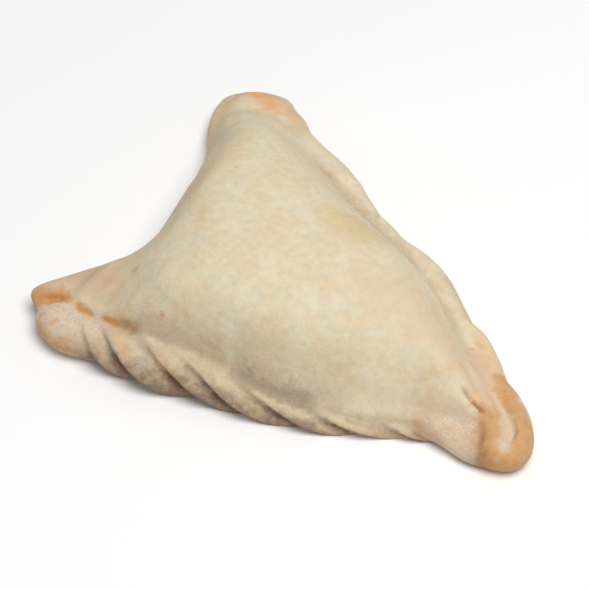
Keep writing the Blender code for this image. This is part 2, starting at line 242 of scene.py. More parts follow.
# Across a pleat, from the gap on its left at 0 to the next one at 1: where its crest is,
# where its fall ends, and how hollow the fall is, on top of the roll and as added below.
CREST_AT = (0.12, 0.26)
FALL_END = (0.86, 0.14)
FALL_HOLLOW = (1.15, 0.2)
BELOW = (0.45, 0.55)     # turn where that lower form starts, and over how much it comes in
SOFT_RISE, SHARP_RISE = 0.6, 0.4      # shares of a rise rounded at both ends, and at its crest
CREST_WIDTH = 0.12
CREST_SINKS = 0.8        # share of the crest that is gone at the foot
SUNK = 0.66              # share of a pleat's depth that goes into the roll
LEAN = 0.3               # how far a crest leans over the gap, for its depth
ROUND_END = 0.7          # length of a roll's round end, for half its width
ROLL_SEGMENTS, PLEATED_RINGS, PLAIN_RINGS = 96, 560, 160
ROLL_STEPS = 600


def ramp(value, start, span):
    """0 up to a start, rising to 1 a span after it."""
    return np.clip((value - start) / span, 0, 1)


def keep(obj, name, values):
    """Keeps a value for each vertex, under a name, on the mesh itself."""
    layer = obj.data.attributes.new(name, "FLOAT", "POINT")
    layer.data.foreach_set("value", np.asarray(values, "f"))


def pleat_profile(phase, turn):
    """Relief across a pleat, 0 to 1, and how near its crest is: a steep rise out of the
    gap on its left, a thin crest, and a fall to the wide gap before the next pleat."""
    part = phase - np.floor(phase)
    low = ramp(turn, *BELOW)
    crest_at, fall_end, hollow = (on_top + added * low
                                  for on_top, added in (CREST_AT, FALL_END, FALL_HOLLOW))
    up = np.clip(part / crest_at, 0, 1)
    up = SOFT_RISE * up * up * (3 - 2 * up) + SHARP_RISE * (1 - (1 - up) ** 2)
    down = 1 - ramp(part, crest_at, fall_end - crest_at) ** hollow
    crest = np.exp(-((part - crest_at) / CREST_WIDTH) ** 2) * (1 - CREST_SINKS * low)
    return np.where(part < crest_at, up, down), crest


def wind_pleats(line, run, along, around, gaps, depths, cap):
    """The pleats round a roll: each vertex's pleat, as a number that grows by 1 from gap to
    gap, its turn, how far it stands out of the roll, and how far it leans along it."""
    turn = (GAP_START - around) % (2 * math.pi) / GAP_SPAN
    turn = np.where(around > GAP_START, 0, np.minimum(turn, LAST_TURN))
    top, foot = (np.interp(x, line[:, 0], run) + np.minimum(x - line[0, 0], 0)
                 for x in np.array(gaps, float).T)
    order = np.arange(len(gaps))
    phase = np.array([np.interp(at, top + (foot - top) * t, order) for at, t in zip(along, turn)])
    ends = np.clip(np.minimum(along, run[-1] - along) / END_FADE + END_SHARE, 0, 1)
    amount = np.interp(phase, order, depths) * np.interp(turn, *DEPTH_BY_TURN) * cap * ends
    shape, crest = pleat_profile(phase, turn)
    return phase, turn, amount * (shape - SUNK), -LEAN * amount * crest


def roll_of_dough(name, stations, gaps=(), depths=(), outward=1):
    """A roll swept along its stations, with slanted pleats wound round it. Outward is 1
    where the pleats face the right-hand side of its path, and -1 where they face the left."""
    rings = PLEATED_RINGS if gaps else PLAIN_RINGS
    bpy.ops.mesh.primitive_uv_sphere_add(segments=ROLL_SEGMENTS, ring_count=rings, radius=MM)
    roll = bpy.context.object
    roll.name = name
    ball = read_points(roll)
    around = np.arctan2(ball[:, 1], ball[:, 0])
    share = np.arccos(np.clip(ball[:, 2], -1, 1)) / math.pi
    # the ball's poles become the ends of the roll, and its rings follow the path
    line, length = smooth_curve(stations, ROLL_STEPS)
    run = np.linspace(0, length, len(line))
    first, last = ROUND_END * stations[0][3], ROUND_END * stations[-1][3]
    along = -first + share * (length + first + last)
    centre = np.stack([np.interp(along, run, column) for column in line.T], 1)
    step = np.gradient(line[:, :2], axis=0)
    heading = step / np.linalg.norm(step, axis=1)[:, None]
    head = np.stack([np.interp(along, run, column) for column in heading.T], 1)
    head /= np.linalg.norm(head, axis=1)[:, None]
    centre[:, :2] += head * (along - np.clip(along, 0, length))[:, None]
    side = np.stack([head[:, 1], -head[:, 0]], 1) * outward
    cap = round_off(np.minimum((along + first) / (2 * first), (length + last - along) / (2 * last)))
    # the outline of each ring, round at the ends and pleated where there are gaps
    phase = turn = swell = lean = np.zeros_like(along)
    if gaps:
        phase, turn, swell, lean = wind_pleats(line, run, along, around, gaps, depths, cap)
    wide = np.cos(around) * (centre[:, 3] * cap + swell)
    high = np.sin(around) * (centre[:, 4] * cap + swell)
    put_points(roll, np.stack([centre[:, 0] + side[:, 0] * wide + head[:, 0] * lean,
                               centre[:, 1] + side[:, 1] * wide + head[:, 1] * lean,
                               centre[:, 2] + high], 1))
    # only the front crimp keeps its turn, because only its gaps get painted shade
    keep(roll, "pleat", phase)
    keep(roll, "turn", turn if outward > 0 else 0 * turn)
    bpy.ops.object.mode_set(mode="EDIT")
    bpy.ops.mesh.select_all(action="SELECT")
    bpy.ops.mesh.normals_make_consistent(inside=False)
    bpy.ops.object.mode_set(mode="OBJECT")
    return roll


rolls = [
    roll_of_dough("front_crimp", FRONT_CRIMP, FRONT_GAPS, FRONT_DEPTHS),
    roll_of_dough("back_crimp", BACK_CRIMP, BACK_GAPS, BACK_DEPTHS, outward=-1),
]

# ---------------------------------------------------------------------------
# The right corner. The end of the front crimp is pressed flat into a lobe, and a fold of
# the far side runs over the filling to it, so that a floury valley is left between them.
INNER_FOLD = (
    (44.0, 8.4, 8.0, 4.4, 5.4),
    (51.0, 4.6, 7.4, 4.3, 5.3),
    (57.2, 2.2, 6.0, 3.5, 4.8),
    (61.4, 0.2, 5.0, 2.9, 4.5),
    (63.0, -3.0, 4.8, 3.1, 4.5),
    (65.0, -6.0, 4.7, 3.6, 4.5),
)
FRONT_LOBE = (
    (45.0, -7.8, 4.2, 3.4, 3.8),
    (52.0, -5.6, 4.6, 5.0, 4.4),
    (59.0, -5.8, 3.8, 4.6, 3.8),
    (64.0, -6.0, 3.6, 4.1, 3.5),
)
rolls.append(roll_of_dough("inner_fold", INNER_FOLD))
rolls.append(roll_of_dough("front_lobe", FRONT_LOBE))

# ---------------------------------------------------------------------------
# One piece of dough. The sheet and the rolls are pressed together into one skin, the
# fingers leave their strokes in it, and it rests flat on its underside.
SKIN_STEP = 0.545
SETTLE_PASSES, SOFT_PASSES, BLEND_PASSES = 3, 36, 300
WEIGHT_STEPS = 20
# How far the softening reaches, and the line that it follows. The second list is blended
# away from the height STANDING up, and in full from twice that height.
SOFT_PLACES = (
    # foot of the front crimp
    (5.0, ((-33.0, -33.0), (-22.9, -33.2), (-16.7, -31.0), (-10.7, -28.5), (-2.2, -27.2), (9.1, -27.0))),
    (3.0, ((9.1, -27.0), (21.3, -23.2), (30.1, -18.7), (40.3, -12.9), (48.4, -8.9))),
    # ear
    (9.0, ((-46.0, 50.0), (-52.0, 36.0))),
    (7.0, ((-44.0, 45.0), (-34.0, 42.0), (-24.0, 39.0))),
    # left corner and wing
    (6.0, ((-44.0, -25.0), (-42.0, -30.0), (-41.0, -35.0))),
    (7.0, ((-45.0, -20.0), (-38.0, -30.0))),
    (6.0, ((-50.0, -30.0), (-43.0, -34.0))),
    (3.2, ((-53.5, -41.5), (-49.5, -40.6))),
    # foot of the back crimp
    (4.0, ((-24.0, 39.0), (-8.4, 33.2), (10.4, 30.7), (27.0, 24.6), (38.0, 16.0))),
    # right corner
    (5.0, ((38.0, 12.0), (44.0, 4.0), (50.0, 0.0))),
    (5.0, ((38.0, 15.0), (48.0, 10.0), (56.0, 6.0))),
    (3.0, ((47.0, 12.5), (54.0, 8.6), (60.0, 4.6), (64.0, 2.0))),
    (2.6, ((59.0, -1.0), (60.5, -4.0), (62.5, -8.0))),
)
BLENDED_PLACES = (
    (7.0, ((-53.0, 32.0), (-49.5, 35.0), (-45.0, 38.0), (-38.0, 39.5), (-31.0, 39.5), (-22.0, 38.5))),
    (3.2, ((43.0, 14.0), (48.0, 11.2), (53.4, 8.2), (58.0, 5.0))),
)
STANDING = 3
# the dough over the filling, away from the right corner, is softened half as much
PUFFED_UP_TO, PUFFED_FROM, PUFFED_SPAN, PUFFED_SOFTNESS = 38, 9, 3, 0.5
NO_TURN = 0.001            # turn below which a vertex isn't on the front crimp
# depth (less than 0 is a raised lip), width, and the line seen from above
STROKES = (
    # left corner
    (1.4, 0.9, ((-48.4, -40.2), (-46.6, -38.7), (-44.5, -36.6))),
    (0.6, 0.9, ((-39.9, -37.5), (-37.2, -37.0), (-34.3, -37.2))),
    (0.6, 1.1, ((-29.5, -36.6), (-27.5, -35.6), (-25.0, -35.2), (-22.4, -35.2))),
    # foot of the front crimp
    (0.6, 0.8, ((31.8, -20.6), (35.3, -18.5), (39.1, -16.2))),
    # right corner
    (0.7, 0.6, ((52.1, -0.8), (54.2, -1.1), (56.7, -0.7), (60.1, 0.2))),
    (0.5, 2.0, ((46.0, 12.4), (50.4, 9.8), (55.0, 7.2), (59.5, 5.0))),
    (1.6, 1.5, ((58.0, 5.6), (62.1, 3.9), (66.2, 0.8), (67.6, -2.0), (67.8, -4.6))),
    (0.7, 1.0, ((59.3, -1.5), (60.1, -3.3), (61.7, -6.3), (62.7, -8.4), (64.0, -9.2))),
    # fold
    (-0.9, 3.0, ((-48.0, 22.4), (-46.0, 19.4), (-42.0, 14.0))),
    (0.6, 3.4, ((-38.6, 9.0), (-37.4, 5.0), (-36.6, 1.0))),
    # foot of the back crimp
    (0.8, 2.2, ((-21.0, 38.0), (-16.0, 36.8), (2.5, 31.6), (19.9, 27.7), (34.6, 19.2), (44.0, 13.4))),
    # ear
    (-0.5, 2.8, ((-57.6, 39.0), (-53.7, 43.2), (-48.1, 45.2), (-42.0, 47.6), (-38.0, 50.0))),
    (-0.7, 3.4, ((-50.6, 34.4), (-48.0, 37.0), (-43.5, 39.0), (-37.0, 39.8), (-30.0, 39.2))),
)
STROKE_FADE, STROKE_END = 6, 0.35      # how fast a stroke deepens, and its share at the ends
STROKE_STEPS = 80
# how far the skin waves and dimples, over how many millimetres
WAVE, WAVE_LENGTH = 0.35, 14
DIMPLE, DIMPLE_LENGTH, DIMPLE_START = 0.10, 4, Vector((7, 3, 1))
FACING_UP = 0.4            # how much a face looks up where it takes the whole stroke
UNDERSIDE = 0.5            # what is flattened off below
FOOTPRINT_MIDDLE = (6.25, 3.65)        # goes to the frame's origin


def line_distance(points, path):
    """Distance seen from above to a smooth path, and the share of it where it is nearest."""
    line, _ = smooth_curve(path, STROKE_STEPS)
    nearest = np.full(len(points), np.inf)
    share = np.zeros(len(points))
    for number, spot in enumerate(line):
        away = np.hypot(points[:, 0] - spot[0], points[:, 1] - spot[1])
        closer = away < nearest
        nearest[closer] = away[closer]
        share[closer] = number / (len(line) - 1)
    return nearest, share


def near_lines(points, places):
    """1 along a list of lines, each with its reach, falling smoothly to 0 away from them."""
    nearness = np.zeros(len(points))
    for reach, path in places:
        away, _ = line_distance(points, path)
        nearness = np.maximum(nearness, np.exp(-(away / reach) ** 2))
    return nearness


def kept(obj, name):
    """The values that were kept under a name."""
    values = np.empty(len(obj.data.vertices), "f")
    obj.data.attributes[name].data.foreach_get("value", values)
    return values


def ease(times, weights=None):
    """Smooths the dough, by weights from 0 to 1 where they are given."""
    soft = dough.modifiers.new("ease", "SMOOTH")
    soft.factor = 0.5
    soft.iterations = times
    if weights is not None:
        group = dough.vertex_groups.new(name="soft")
        steps = np.round(weights * WEIGHT_STEPS).astype(int)
        for value in range(1, WEIGHT_STEPS + 1):
            group.add(np.nonzero(steps == value)[0].tolist(), value / WEIGHT_STEPS, "REPLACE")
        soft.vertex_group = "soft"
    bpy.ops.object.modifier_apply(modifier="ease")
    dough.vertex_groups.clear()


bpy.ops.object.select_all(action="DESELECT")
for roll in rolls:
    roll.select_set(True)
dough.select_set(True)
bpy.context.view_layer.objects.active = dough
bpy.ops.object.join()
dough.name = "empanada_crust"
dough.data.name = "empanada_crust"
dough.data.remesh_voxel_size = SKIN_STEP * MM
dough.data.remesh_voxel_adaptivity = 0
dough.data.use_remesh_preserve_attributes = True
bpy.ops.object.voxel_remesh()

# the joints are softened, and the ear and the curl of the right corner are blended in
ease(SETTLE_PASSES)
points = read_points(dough)
over_filling = (kept(dough, "turn") < NO_TURN) * (points[:, 0] < PUFFED_UP_TO)
puffed = over_filling * ramp(points[:, 2], PUFFED_FROM, PUFFED_SPAN)
ease(SOFT_PASSES, np.maximum(near_lines(points, SOFT_PLACES), PUFFED_SOFTNESS * puffed))
points = read_points(dough)
ease(BLEND_PASSES, near_lines(points, BLENDED_PLACES) * np.clip(points[:, 2] / STANDING - 1, 0, 1))

# the fingers' strokes go in from above, and leave the sides and the underside alone
points = read_points(dough)
normals = np.empty(len(points) * 3)
dough.data.vertices.foreach_get("normal", normals)
normals = normals.reshape(-1, 3)
upward = np.clip(normals[:, 2] / FACING_UP, 0, 1)
pressed = np.zeros(len(points))
for deep, wide, path in STROKES:
    away, share = line_distance(points, path)
    fade = np.clip(np.minimum(share, 1 - share) * STROKE_FADE, STROKE_END, 1)
    pressed += deep * fade * np.exp(-(away / wide) ** 2)
uneven = np.array([WAVE * noise.noise(Vector(p) / WAVE_LENGTH)
                   + DIMPLE * noise.noise(Vector(p) / DIMPLE_LENGTH + DIMPLE_START) for p in points])
points += normals * ((uneven - pressed) * upward)[:, None]
made = points.copy()       # the crust in the maker's frame, for its bake
points[:, 2] = np.maximum(points[:, 2] - UNDERSIDE, 0)
points[:, :2] -= FOOTPRINT_MIDDLE
put_points(dough, points)
bpy.ops.object.shade_smooth()

# ---------------------------------------------------------------------------
# The bake and the flour. The dough is baked pale and dusted with flour, and browned at
# its corners and on the fold's edges. Shade is painted grey-brown into the gaps of the
# crimp and along its foot, with a few small grey spots.
# the fifth finish is painted shade in gaps, creases and grooves and at the foot, with a few small grey
# spots
FINISHES = ("browned", "toasted", "blush", "golden", "painted_shade_and_spots", "floury")
# which finish, how strong, half its width, and the line it follows, seen from above
BAKE_MARKS = (
    # left corner
    ("browned", 1.25, 1.5, ((-50.1, -40.9), (-48.7, -39.7), (-47.6, -38.5), (-46.2, -37.8), (-44.5, -37.0),
                            (-42.4, -36.6))),
    ("browned", 0.70, 2.6, ((-54.0, -39.6), (-51.6, -40.2), (-49.0, -38.8), (-46.0, -36.0))),
    ("browned", 0.70, 1.2, ((-40.6, -37.0), (-38.8, -36.8), (-36.8, -36.7), (-34.2, -36.9))),
    ("browned", 1.05, 0.6, ((-39.9, -36.9), (-38.4, -37.1), (-36.4, -36.6), (-34.4, -36.7))),
    ("golden", 1.0, 1.6, ((-31.4, -35.9), (-28.0, -34.8), (-25.0, -34.4))),
    ("browned", 0.95, 1.0, ((-31.2, -36.0), (-29.6, -35.9), (-28.2, -35.6))),
    ("browned", 0.40, 1.2, ((-28.9, -35.4), (-26.0, -34.6), (-23.0, -34.3))),
    ("blush", 0.72, 6.0, ((-51.0, -37.0), (-46.5, -32.6), (-42.5, -29.0), (-37.5, -26.6))),
    ("blush", 0.55, 2.4, ((-36.0, -27.5), (-33.0, -30.5))),
    ("blush", 0.80, 5.5, ((-47.0, -43.0), (-41.0, -42.0), (-35.0, -41.4), (-30.0, -40.5))),
    ("browned", 0.50, 0.7, ((-45.8, -43.9), (-44.8, -43.5))),
    ("browned", 0.45, 0.7, ((-43.0, -45.5), (-42.3, -45.4))),
    ("browned", 0.45, 0.7, ((-41.4, -44.8), (-40.3, -43.5))),
    ("browned", 0.55, 1.8, ((-47.5, -45.8), (-41.4, -47.4), (-36.7, -47.0), (-33.1, -45.6))),
    ("painted_shade_and_spots", 0.16, 1.8, ((-47.5, -46.2), (-41.4, -47.8), (-36.7, -47.4), (-33.1, -46.0))),
    # first pleats
    ("toasted", 0.45, 1.6, ((-24.3, -38.8), (-21.0, -40.1), (-18.4, -41.2))),
    ("toasted", 0.35, 1.2, ((-13.8, -36.0), (-9.5, -37.4), (-4.0, -38.3))),
    # ear
    ("toasted", 0.9, 2.8, ((-52.4, 48.4), (-50.0, 49.0), (-47.4, 48.2), (-45.6, 46.8))),
    ("toasted", 1.2, 1.3, ((-48.4, 49.6), (-46.7, 48.3), (-45.4, 46.8))),
    ("toasted", 0.45, 1.8, ((-43.2, 48.4), (-40.6, 48.6))),
    ("browned", 0.34, 1.0, ((-53.6, 29.6), (-57.2, 34.0), (-59.6, 38.4), (-59.8, 41.6))),
    ("blush", 0.8, 2.8, ((-56.6, 48.4), (-50.0, 51.6), (-45.0, 52.2), (-39.4, 49.6), (-36.6, 47.4))),
    ("blush", 0.4, 3.0, ((-59.6, 43.0), (-57.0, 37.4), (-53.4, 31.5), (-47.4, 24.0))),
    ("golden", 0.65, 2.6, ((-57.0, 43.6), (-56.0, 40.0), (-55.0, 37.0))),
    # back crimp
    ("blush", 0.25, 1.4, ((-24.0, 47.6), (-10.6, 42.1), (-1.0, 38.0), (12.0, 34.2))),
    # right corner
    ("browned", 0.83, 3.0, ((56.2, 11.4), (59.3, 8.3), (62.9, 6.6), (66.8, 4.6), (69.8, 1.8), (71.4, -1.6),
                            (71.4, -4.7), (69.7, -7.4), (67.0, -8.8))),
    ("browned", 0.85, 3.4, ((67.0, -8.6), (64.9, -7.0), (63.0, -4.5), (61.6, -1.9), (60.4, -0.3))),
    ("browned", 0.95, 0.5, ((65.9, 3.2), (67.6, 1.2), (68.4, -1.0))),
    ("browned", 0.95, 0.9, ((56.2, -0.9), (58.4, -0.3), (60.9, 0.5))),
    ("toasted", 0.45, 1.8, ((55.6, 0.2), (58.0, 0.8), (60.4, 1.5))),
    ("browned", 0.48, 0.8, ((52.6, -8.3), (53.8, -8.3), (54.8, -7.4), (55.9, -7.2))),
    ("browned", 0.30, 1.4, ((46.4, -11.3), (50.7, -10.7), (53.8, -10.7))),
    ("blush", 0.85, 4.4, ((49.0, -9.5), (55.0, -7.5), (60.0, -6.5))),
    ("blush", 0.75, 4.0, ((48.0, 12.6), (53.0, 9.4), (57.5, 5.6), (62.6, 3.4), (66.6, 0.0), (67.8, -4.0))),
    ("blush", 0.45, 3.0, ((52.0, 3.0), (57.0, 2.2), (60.0, 1.4))),
    ("golden", 1.0, 1.3, ((44.8, 16.6), (45.8, 16.4))),
    ("toasted", 0.45, 1.0, ((44.8, 16.6), (45.4, 16.5))),
    ("toasted", 0.30, 2.4, ((42.0, 20.5), (46.6, 17.6), (50.6, 15.2))),
    ("golden", 0.75, 1.8, ((48.4, 0.6), (48.9, 2.9))),
    ("golden", 0.65, 1.2, ((45.3, -3.6), (45.0, -5.2))),
    ("painted_shade_and_spots", 0.32, 0.5, ((44.6, 14.1), (44.8, 14.2))),
    # over the filling
    ("golden", 0.40, 5.0, ((-34.5, 1.0), (-34.4, 8.0), (-34.6, 16.0))),
    ("golden", 0.85, 4.4, ((1.2, 14.5), (6.7, 13.6), (9.9, 15.5))),
    ("blush", 0.35, 1.6, ((4.4, 18.5), (9.0, 18.7), (13.0, 19.8))),
    ("blush", 0.36, 7.5, ((24.5, 2.6), (31.0, 5.5), (38.1, 4.0), (44.4, 2.6))),
    ("golden", 0.6, 1.5, ((-33.4, 1.7), (-34.0, 5.5))),
    ("golden", 0.6, 1.5, ((-25.1, -4.7), (-22.0, -9.6))),
    ("browned", 0.34, 0.6, ((-17.2, -30.3), (-16.9, -30.1))),
    ("painted_shade_and_spots", 0.35, 0.7, ((-32.2, -23.4), (-31.8, -23.1))),
    # painted shade along the foot of the front crimp, and in the creases
    ("painted_shade_and_spots", 0.34, 1.3, ((-30.6, -36.1), (-27.6, -35.3))),
    ("painted_shade_and_spots", 0.50, 1.2, ((-28.3, -35.6), (-26.0, -35.2), (-24.3, -35.1), (-22.4, -35.3))),
    ("painted_shade_and_spots", 0.48, 2.2, ((-21.8, -34.4), (-18.9, -35.9), (-15.9, -37.2))),
    ("painted_shade_and_spots", 0.60, 1.8, ((-6.4, -34.5), (-3.7, -35.3), (-1.6, -35.7))),
    ("painted_shade_and_spots", 0.52, 1.8, ((1.6, -28.6), (3.4, -28.8), (6.9, -29.2), (10.7, -29.2))),
    ("painted_shade_and_spots", 0.18, 2.2, ((-37.6, -28.0), (-37.4, -31.6), (-35.0, -34.0))),
    ("painted_shade_and_spots", 0.30, 0.9, ((-31.3, -43.0), (-29.0, -43.9), (-27.4, -44.9))),
    ("painted_shade_and_spots", 0.56, 1.8, ((-8.1, -37.4), (-5.6, -37.4), (-3.5, -37.0), (-1.4, -36.2), (0.1, -35.8))),
    ("painted_shade_and_spots", 0.90, 1.4, ((-8.5, -39.6), (-6.6, -38.4), (-4.4, -36.8), (-3.2, -36.5))),
    ("painted_shade_and_spots", 0.75, 1.2, ((2.8, -34.4), (5.2, -33.6), (7.4, -32.9))),
    ("painted_shade_and_spots", 0.82, 1.3, ((22.5, -27.9), (24.5, -26.9), (26.4, -25.6))),
    ("painted_shade_and_spots", 0.48, 0.7, ((31.8, -20.6), (33.2, -19.7), (35.3, -18.5), (37.4, -17.2), (39.1, -16.2))),
    ("painted_shade_and_spots", 0.36, 3.0, ((-22.0, -33.6), (-15.3, -32.4), (-7.9, -30.8), (0.0, -29.6))),
    ("painted_shade_and_spots", 0.70, 1.7, ((3.0, -28.2), (5.5, -27.9), (8.6, -27.8), (12.0, -27.2), (15.3, -26.4),
                         (18.9, -25.1), (22.4, -23.6), (25.7, -21.9))),
    ("painted_shade_and_spots", 0.30, 2.0, ((21.5, -23.2), (24.2, -22.3), (27.4, -21.2), (31.5, -19.6))),
    ("painted_shade_and_spots", 0.27, 2.9, ((9.0, -26.6), (12.0, -25.8), (17.0, -24.0), (22.4, -21.8), (26.0, -20.4))),
    ("painted_shade_and_spots", 0.28, 1.0, ((39.0, -15.9), (42.4, -13.7), (48.0, -10.8))),
    ("painted_shade_and_spots", 0.20, 5.0, ((6.0, -26.5), (13.0, -24.6), (21.0, -21.6), (28.0, -18.0))),
    ("painted_shade_and_spots", 0.16, 4.0, ((-45.0, -26.0), (-39.0, -33.0), (-30.0, -33.0))),
    ("painted_shade_and_spots", 0.50, 0.55, ((52.4, -0.8), (54.2, -1.1), (56.7, -0.7), (58.7, 0.0))),
    ("painted_shade_and_spots", 0.30, 1.3, ((59.3, -1.5), (60.1, -3.3), (61.7, -6.3), (62.7, -8.4), (64.0, -9.2))),
    ("painted_shade_and_spots", 0.25, 2.4, ((57.5, -5.9), (59.6, -7.4), (61.3, -8.9), (62.4, -9.6))),
    ("painted_shade_and_spots", 0.36, 1.7, ((60.6, -9.8), (62.7, -9.2), (64.5, -9.2), (66.1, -9.0))),
    ("painted_shade_and_spots", 0.15, 1.3, ((46.4, -11.6), (50.7, -11.0), (54.5, -11.6))),
    # painted shade in the back groove
    ("painted_shade_and_spots", 0.34, 1.9, ((-25.0, 39.2), (-17.4, 37.2), (-10.0, 35.4), (-4.0, 33.8), (2.5, 31.4),
                         (10.4, 30.3), (19.9, 27.4))),
    ("painted_shade_and_spots", 0.16, 1.6, ((19.9, 27.4), (27.0, 24.2), (34.6, 19.0), (42.4, 13.0))),
    ("painted_shade_and_spots", 0.24, 2.2, ((23.8, 30.6), (28.7, 28.6), (34.4, 26.0), (40.0, 23.0))),
    # floury streaks
    ("floury", 0.65, 1.4, ((60.0, 4.4), (63.4, 3.0), (66.0, 0.7), (67.6, -1.9), (67.9, -4.0))),
    ("floury", 0.45, 2.6, ((2.0, -28.4), (8.6, -27.8), (15.3, -26.4), (22.4, -23.6), (28.9, -20.2))),
    ("floury", 0.8, 4.0, ((52.1, -9.5), (56.6, -6.7), (59.1, -5.4), (61.0, -7.8))),
    ("floury", 1.0, 5.0, ((-46.0, -42.5), (-38.0, -41.8), (-32.0, -40.0))),
    ("floury", 0.6, 3.0, ((-24.0, -35.5), (-16.0, -33.0), (-8.0, -30.5))),
    ("floury", 0.3, 3.0, ((-30.0, 44.0), (-17.5, 40.0), (-8.0, 36.5), (6.0, 32.0), (18.0, 29.0))),
)
FLOURY_VALLEY = ((57.0, 5.7), (60.4, 4.2), (63.4, 3.0), (66.0, 0.7), (67.6, -1.9), (67.9, -4.6))
VALLEY_WIDTH, VALLEY_PALE = 0.95, 0.9
# A mark's edge wavers with the patches in the dough. The ends of a mark fade where it is
# narrower than NARROW, has more than SHORT points, and isn't flour.
PATCH_SIZE, PATCH_START = 2.2, Vector((3, 5, 8))
SPECK_SIZE, SPECK_SHARE = 0.8, 0.6
WAVER, MARK_EDGE = 0.45, 2.4
NARROW, SHORT, END_STRENGTH, END_RISE = 2.5, 3, 0.45, 4
# Painted shade in the front crimp. By x: how strong it is in all, and on the outer rim. By the
# pleat's number: how much of a pleat beyond its crest stays unshaded, and how far the
# painted shade of a gap runs on into the next pleat.
SHADE_ALONG = ((-46, -36, -31, -28, -22, 4, 12, 30, 36, 50),
              (0.05, 0.17, 0.3, 0.7, 0.9, 1, 0.75, 0.65, 0.55, 0.55))
RIM_ALONG = ((-46, -40, -24, 25, 29), (0, 0.5, 1, 1, 0.3))
UNSHADED_CREST = ((1, 2, 3, 4, 5), (0.1, 0.1, 0.12, 0.15, 0.2))
SHADE_AFTER_GAP = ((1, 2, 3, 4, 5, 6), (0.6, 0.9, 1.1, 1.3, 1.1, 0.4))
CREST_PART, GAP_RISE, GAP_CLOSES = 0.32, 0.42, 0.3
RIM_PART, RIM_RISE = 0.4, 0.3
SHADE_FALL = 1.3
SIDE_SHADE, TOE_SHADE, GAP_SHADE, RIM_SHADE = 0.28, 0.28, 0.62, 0.5
SHADE_PATCHES = 0.5
# round the roll: the turn where each starts, and over how much it comes in
SIDE_TURN, TOE_TURN, GAP_TURN = (0, 0.2), (0.32, 0.42), (0.40, 0.40)
RIM_TURN, BROWN_TURN = (0.70, 0.15), (0.45, 0.4)
CRIMP_FLOUR, CRIMP_BROWN = 0.35, 0.40
GAP_BARE = 0.5           # share of the flour that is gone in the gaps
BROWN_BARE, LEFT_BARE = 1.3, 0.95      # how bare of flour the brown is, and its share on the left
# painted shade at the foot of the crust: the height where it fades out, and its strength at the floor
FOOT_HEIGHT, FOOT_SHADE = 4.5, 0.25

patchy = np.array([noise.noise(Vector(p) / PATCH_SIZE + PATCH_START)
                   + SPECK_SHARE * noise.noise(Vector(p) / SPECK_SIZE) for p in made])
baked = {name: np.zeros(len(made)) for name in FINISHES}
for name, strength, wide, path in BAKE_MARKS:
    away, share = line_distance(made, path)
    mark = strength * np.exp(-np.abs(away * (1 + WAVER * patchy) / wide) ** MARK_EDGE)
    if wide < NARROW and len(path) > SHORT and name != "floury":
        mark *= np.clip(END_STRENGTH + END_RISE * np.minimum(share, 1 - share), 0, 1)
    baked[name] = np.maximum(baked[name], mark)
away, _ = line_distance(made, FLOURY_VALLEY)
baked["browned"] *= 1 - VALLEY_PALE * np.exp(-(away / VALLEY_WIDTH) ** 4)

# the front crimp gets painted shade in its gaps, at its toe and on its rim, is floury on its
# crests and brown low down, and the whole crust gets painted shade at its foot
pleat = kept(dough, "pleat")
turn = kept(dough, "turn")
part = pleat - np.floor(pleat)
rolled = turn > NO_TURN
low = ramp(turn, *GAP_TURN)
low = low * low * (3 - 2 * low)
rim = ramp(turn, *RIM_TURN) * np.interp(made[:, 0], *RIM_ALONG)
unshaded = np.interp(pleat, *UNSHADED_CREST)
before_gap = ramp(part - CREST_PART, unshaded, GAP_RISE - GAP_CLOSES * unshaded)
after_gap = np.clip(1 - part / np.interp(pleat, *SHADE_AFTER_GAP), 0, 1)
hollow = np.maximum(before_gap ** SHADE_FALL, after_gap ** SHADE_FALL) * rolled
crimp_shade = SIDE_SHADE * ramp(turn, *SIDE_TURN) + TOE_SHADE * ramp(turn, *TOE_TURN) + GAP_SHADE * low * hollow
crimp_shade = np.interp(made[:, 0], *SHADE_ALONG) * crimp_shade
crimp_shade += RIM_SHADE * rim * ramp(part - RIM_PART, unshaded, RIM_RISE)
crimp_shade *= rolled * (1 + SHADE_PATCHES * patchy)
bare = np.clip(BROWN_BARE * baked["browned"], 0, 1) * np.where(made[:, 0] > 0, 1, LEFT_BARE)
baked["floury"] = np.maximum(baked["floury"], CRIMP_FLOUR * rolled * (1 - GAP_BARE * hollow * low))
baked["floury"] *= 1 - bare
crust_brown = CRIMP_BROWN * ramp(turn, *BROWN_TURN) * rolled * (1 - hollow)
baked["browned"] = np.maximum(baked["browned"], crust_brown)
foot = np.clip(1 - made[:, 2] / FOOT_HEIGHT, 0, 1) ** 2
baked["painted_shade_and_spots"] = np.clip(np.maximum(baked["painted_shade_and_spots"], crimp_shade) + FOOT_SHADE * foot, 0, 1)
for name in FINISHES:
    keep(dough, name, baked[name])

# colours of the dough, and what tints or covers it
GOLDEN = (0.68, 0.52, 0.29, 1)
BLUSH = (0.645, 0.435, 0.28, 1)
TOASTED = (0.80, 0.43, 0.17, 1)
FLOUR = (0.74, 0.655, 0.56, 1)
WHOLE = (1.0, 1.0, 1.0)
# stops of place and colour: the dough itself, the brown by its strength, and then tints
PALE_DOUGH = ((0.34, (0.745, 0.648, 0.470)), (0.50, (0.72, 0.62, 0.437)), (0.66, (0.71, 0.595, 0.395)))
BROWNING = ((0.1, (0.68, 0.50, 0.33)), (0.45, (0.64, 0.41, 0.22)), (0.66, (0.615, 0.36, 0.17)),
            (1.0, (0.58, 0.28, 0.094)))
PATCH_TINT = ((0.34, (0.965, 1.0, 1.03)), (0.5, WHOLE), (0.66, (1.02, 0.98, 0.955)))
